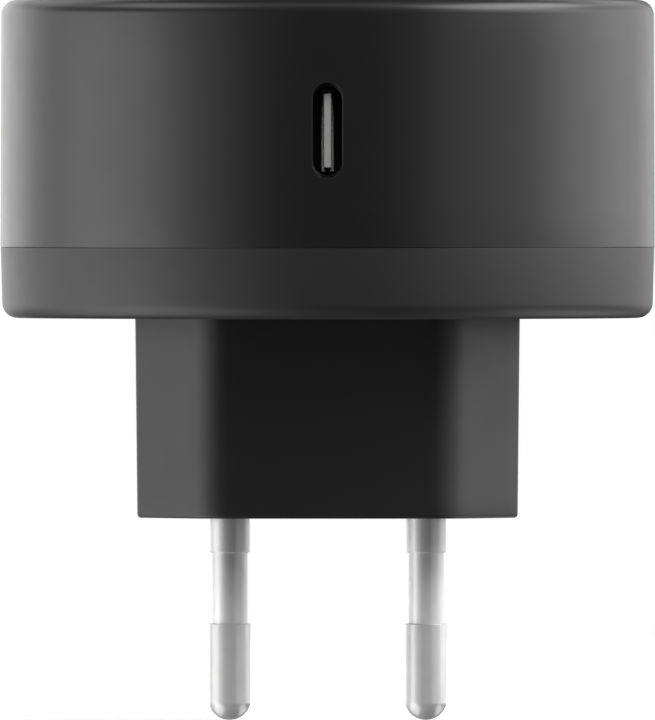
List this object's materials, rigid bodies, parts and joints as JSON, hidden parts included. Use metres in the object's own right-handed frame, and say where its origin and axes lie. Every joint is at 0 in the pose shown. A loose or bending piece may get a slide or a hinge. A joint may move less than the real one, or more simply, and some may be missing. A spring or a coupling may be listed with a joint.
{
  "type": "smart plug",
  "caption": "Round plug-in smart power unit: dark drum housing on a grooved plug base with two round mains pins, an upright USB-C port in its side and a push button in its face.",
  "frame": {"origin": "midway between the two pins, on the plug base's end face", "axes": "+Z out of the wall socket towards the room and the front face; the pins point along -Z, side by side along X; the USB-C port faces -Y"},
  "size_m": [0.062, 0.062, 0.0682],
  "materials": {
    "front_plastic": "dark grey fine-grained satin moulding",
    "rear_plastic": "dark grey fine-grained matt moulding",
    "base_plastic": "dark grey matt moulding",
    "button_plastic": "dark grey satin",
    "light_guide": "milky diffuser, frosted",
    "pin_nickel": "satin nickel plate over brass",
    "sleeve_grey": "silver-grey insulating sleeve",
    "ivory_plastic": "natural, fibre filled",
    "screw_steel": "zinc plated",
    "spring_bronze": "rolled strip",
    "board_green": "solder mask over glass laminate",
    "board_blue": "solder mask over glass laminate",
    "fuse_brown": "moulded",
    "epoxy_blue": "dipped epoxy",
    "film_yellow": "moulded box",
    "ferrite": "sintered ferrite",
    "enamel_wire": "enamelled copper",
    "chip_black": "epoxy package",
    "sleeved_can": "dark shrink sleeve",
    "bare_can": "bright can",
    "winding_tape": "polyester tape",
    "opto_white": "epoxy package",
    "barrier_white": "sheet",
    "spreader_aluminium": "sheared sheet",
    "pad_pink": "soft gap filler",
    "socket_steel": "dark nickel plate",
    "socket_grey": "grey glass-filled insert",
    "contact_gold": "gold flash",
    "black_plastic": "moulded",
    "shield_tin": "tin plate",
    "led_white": "clear lens over phosphor",
    "plunger_white": "moulded"
  },
  "bodies": {
    "housing": {"front_shell": "front_plastic", "rear_shell": "rear_plastic", "plug_base": "base_plastic", "live_pin": "pin_nickel", "neutral_pin": "pin_nickel", "live_pin_sleeve": "sleeve_grey", "neutral_pin_sleeve": "sleeve_grey", "pin_retainer": "ivory_plastic", "retainer_screw": "screw_steel", "live_contact": "spring_bronze", "neutral_contact": "spring_bronze", "case_screws": "screw_steel", "power_board": "board_green", "board_screws": "screw_steel", "fuse": "fuse_brown", "varistor": "epoxy_blue", "input_capacitor": "film_yellow", "choke_core": "ferrite", "choke_windings": "enamel_wire", "bridge_rectifier": "chip_black", "bulk_capacitors": "sleeved_can", "primary_switch": "chip_black", "transformer_core": "ferrite", "transformer_bobbin": "black_plastic", "transformer_winding": "winding_tape", "safety_capacitor": "epoxy_blue", "optocoupler": "opto_white", "sync_rectifier": "chip_black", "output_capacitors": "bare_can", "output_inductor": "ferrite", "output_switch": "chip_black", "insulation_barrier": "barrier_white", "heat_spreader": "spreader_aluminium", "thermal_pad": "pad_pink", "usb_board": "board_green", "usb_controller": "chip_black", "usb_shell": "socket_steel", "usb_tongue": "socket_grey", "usb_contacts": "contact_gold", "board_header": "black_plastic", "logic_board": "board_blue", "logic_screws": "screw_steel", "processor": "chip_black", "wireless_module": "board_green", "shield_can": "shield_tin", "status_leds": "led_white", "switch_body": "black_plastic", "light_ring": "light_guide"},
    "button": {"button_cap": "button_plastic"},
    "plunger": {"switch_plunger": "plunger_white"}
  },
  "joints": [
    {"name": "button_press", "type": "slide", "parent": "housing", "child": "button", "axis": [0, 0, -1], "range_m": [0, 0.0003], "stiffness_N_per_m": 150, "springref_m": -0.0001},
    {"name": "plunger_press", "type": "slide", "parent": "housing", "child": "plunger", "axis": [0, 0, -1], "range_m": [0, 0.0003]}
  ],
  "couplings": [
    {"joint": "plunger_press", "follows": "button_press", "ratio": 1}
  ]
}
